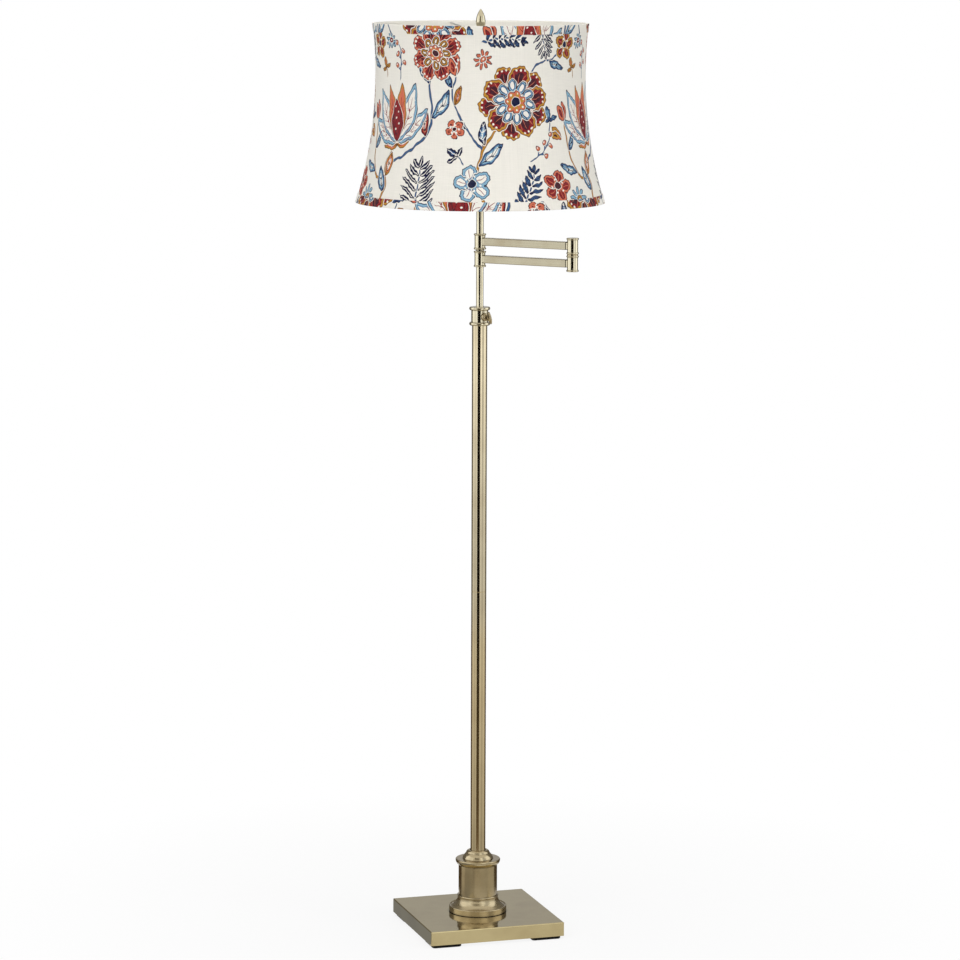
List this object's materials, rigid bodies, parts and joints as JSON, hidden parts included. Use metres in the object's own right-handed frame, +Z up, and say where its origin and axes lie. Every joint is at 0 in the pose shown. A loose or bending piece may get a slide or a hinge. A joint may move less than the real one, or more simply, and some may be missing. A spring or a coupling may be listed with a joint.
{
  "type": "swing arm floor lamp",
  "caption": "Brass floor lamp with a square base, turned pedestal, height-adjusting riser with thumb screw, folding swing arm and a waisted printed fabric shade.",
  "frame": {"origin": "on the floor under the pole axis, at the centre of the square base", "axes": "+Z up along the pole, +X along the front edge of the base, -Y towards the front"},
  "size_m": [0.4063, 0.4062, 1.5238],
  "materials": {
    "pole_brass": "antique brass, polished and lacquered",
    "arm_brass": "antique brass, satin brushed",
    "base_brass": "antique brass plate over steel, polished top",
    "socket_brass": "plain bright brass",
    "iron": "rough cast",
    "steel": "zinc plated",
    "black_rubber": "moulded, matt",
    "nylon": "moulded nylon",
    "phenolic": "black moulding",
    "fibre": "brown fibre sleeve",
    "shade_print": "printed linen weave",
    "shade_white": "plain white lining"
  },
  "bodies": {
    "stand": {"foot_pads": "black_rubber", "base_cover": "base_brass", "base_weight": "iron", "bottom_plate": "steel", "plate_screws": "steel", "cord_bushing": "black_rubber", "base_rod": "steel", "base_washer": "steel", "base_nut": "steel", "pedestal_foot": "pole_brass", "pedestal_column": "pole_brass", "pedestal_cap": "pole_brass", "pole_cup": "pole_brass", "pole_plug": "steel", "lower_pole": "pole_brass", "pole_coupling": "steel", "upper_pole": "pole_brass", "lock_collar": "pole_brass", "guide_bush": "nylon", "clamp_pad": "socket_brass"},
    "clamp_screw": {"thumb_screw": "pole_brass"},
    "riser": {"riser_tube": "pole_brass", "riser_stop": "nylon", "lower_pivot": "socket_brass", "thrust_washer": "nylon", "pivot_nut": "pole_brass"},
    "lower_swing": {"lower_hub": "arm_brass", "lower_arm": "arm_brass", "elbow_lower_hub": "arm_brass", "elbow_bottom_cap": "arm_brass", "elbow_washer": "socket_brass", "elbow_pivot": "socket_brass", "elbow_nut": "socket_brass"},
    "upper_swing": {"elbow_upper_hub": "arm_brass", "elbow_top_cap": "arm_brass", "upper_arm": "arm_brass", "upper_hub": "arm_brass", "upper_hub_plug": "arm_brass", "stem_tube": "pole_brass", "stem_nipple": "socket_brass", "harp_saddle": "socket_brass", "harp": "socket_brass", "harp_ferrules": "socket_brass", "harp_stud": "socket_brass", "finial": "pole_brass", "socket_cap": "socket_brass", "socket_shell": "socket_brass", "socket_insulator": "fibre", "socket_body": "phenolic", "screw_shell": "socket_brass", "centre_contact": "socket_brass", "shade_cover": "shade_print", "shade_lining": "shade_white", "shade_top_trim": "shade_print", "shade_bottom_trim": "shade_print", "shade_frame": "steel", "shade_spider": "steel"},
    "switch": {"switch_key": "socket_brass"}
  },
  "joints": [
    {"name": "riser_slide", "type": "slide", "parent": "stand", "child": "riser", "axis": [0, 0, 1], "range_m": [-0.061, 0.193]},
    {"name": "lower_arm_swing", "type": "hinge", "parent": "riser", "child": "lower_swing", "pos_m": [0, 0, 1.1197], "axis": [0, 0, 1], "range_deg": [-170, 170]},
    {"name": "elbow_swing", "type": "hinge", "parent": "lower_swing", "child": "upper_swing", "pos_m": [0.11809, -0.12229, 1.1481], "axis": [0, 0, 1], "range_deg": [-180, 180]},
    {"name": "clamp_turn", "type": "hinge", "parent": "stand", "child": "clamp_screw", "pos_m": [0.00484, -0.01941, 1.0257], "axis": [0.2419, -0.9703, 0], "range_deg": [0, 360]},
    {"name": "switch_turn", "type": "hinge", "parent": "upper_swing", "child": "switch", "pos_m": [0, -0.03, 1.3027], "axis": [0, -1, 0], "continuous": true}
  ]
}
